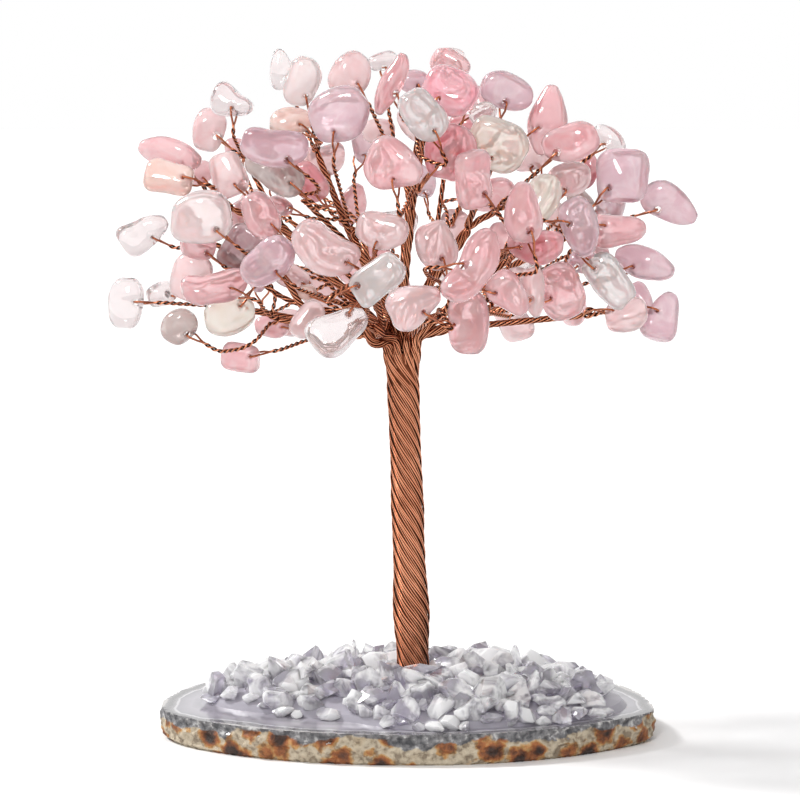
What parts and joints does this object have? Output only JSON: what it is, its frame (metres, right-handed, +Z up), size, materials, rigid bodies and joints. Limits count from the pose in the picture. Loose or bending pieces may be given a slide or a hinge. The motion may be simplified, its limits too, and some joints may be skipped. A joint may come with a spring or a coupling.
{
  "type": "gemstone tree ornament",
  "caption": "Twisted copper wire tree with tumbled pink quartz chips, rooted in clear gravel on a polished agate slice.",
  "frame": {"origin": "on the underside of the agate slice, below the foot of the trunk", "axes": "+Z up along the tree, +X to the right and -Y towards the viewer of the picture"},
  "size_m": [0.1222, 0.0871, 0.1435],
  "materials": {
    "agate": "polished top, natural rind",
    "adhesive": "clear gloss",
    "gravel": "crushed, clear",
    "quartz": "tumble polished",
    "copper": "bright drawn wire"
  },
  "bodies": {
    "tree": {"agate_slice": "agate", "chips_back_left": "quartz", "chips_back_right": "quartz", "chips_front_left": "quartz", "chips_front_right": "quartz", "chips_high_back": "quartz", "chips_high_front": "quartz", "chips_high_left": "quartz", "chips_high_right": "quartz", "chips_left_back": "quartz", "chips_left_front": "quartz", "chips_low_left": "quartz", "chips_low_right": "quartz", "chips_right_back": "quartz", "chips_right_front": "quartz", "glue_bed": "adhesive", "gravel_back_left": "gravel", "gravel_back_right": "gravel", "gravel_front_left": "gravel", "gravel_front_right": "gravel", "gravel_left": "gravel", "gravel_right": "gravel", "limb_back_left": "copper", "limb_back_right": "copper", "limb_front_left": "copper", "limb_front_right": "copper", "limb_high_back": "copper", "limb_high_front": "copper", "limb_high_left": "copper", "limb_high_right": "copper", "limb_left_back": "copper", "limb_left_front": "copper", "limb_low_left": "copper", "limb_low_right": "copper", "limb_right_back": "copper", "limb_right_front": "copper", "root_wires": "copper", "trunk_core": "copper", "trunk_wires": "copper", "twigs_back_left": "copper", "twigs_back_right": "copper", "twigs_front_left": "copper", "twigs_front_right": "copper", "twigs_high_back": "copper", "twigs_high_front": "copper", "twigs_high_left": "copper", "twigs_high_right": "copper", "twigs_left_back": "copper", "twigs_left_front": "copper", "twigs_low_left": "copper", "twigs_low_right": "copper", "twigs_right_back": "copper", "twigs_right_front": "copper"},
    "left_loose_chip": {"left_loose_chip": "quartz"},
    "lower_right_loose_chip": {"lower_right_loose_chip": "quartz"},
    "lowest_loose_chip": {"lowest_loose_chip": "quartz"},
    "right_loose_chip": {"right_loose_chip": "quartz"},
    "upper_left_loose_chip": {"upper_left_loose_chip": "quartz"},
    "upper_right_loose_chip": {"upper_right_loose_chip": "quartz"}
  },
  "joints": [
    {"name": "lower_right_loose_turn", "type": "hinge", "parent": "tree", "child": "lower_right_loose_chip", "pos_m": [0.04236, -0.01026, 0.08978], "axis": [-0.2164, -0.914, 0.3431], "range_deg": [-12, 12]},
    {"name": "upper_left_loose_turn", "type": "hinge", "parent": "tree", "child": "upper_left_loose_chip", "pos_m": [-0.03575, -0.00181, 0.13097], "axis": [-0.2151, -0.919, 0.3305], "range_deg": [-12, 12]},
    {"name": "left_loose_turn", "type": "hinge", "parent": "tree", "child": "left_loose_chip", "pos_m": [-0.04516, -0.00736, 0.08534], "axis": [-0.0793, -0.9905, -0.1119], "range_deg": [-12, 12]},
    {"name": "lowest_loose_turn", "type": "hinge", "parent": "tree", "child": "lowest_loose_chip", "pos_m": [-0.03215, -0.00552, 0.08055], "axis": [-0.2378, -0.9659, -0.1026], "range_deg": [-12, 12]},
    {"name": "right_loose_turn", "type": "hinge", "parent": "tree", "child": "right_loose_chip", "pos_m": [0.05167, 0.00023, 0.11023], "axis": [-0.0892, -0.9959, 0.0142], "range_deg": [-12, 12]},
    {"name": "upper_right_loose_turn", "type": "hinge", "parent": "tree", "child": "upper_right_loose_chip", "pos_m": [0.04092, 0.00144, 0.12356], "axis": [-0.3214, -0.9353, 0.148], "range_deg": [-12, 12]}
  ]
}
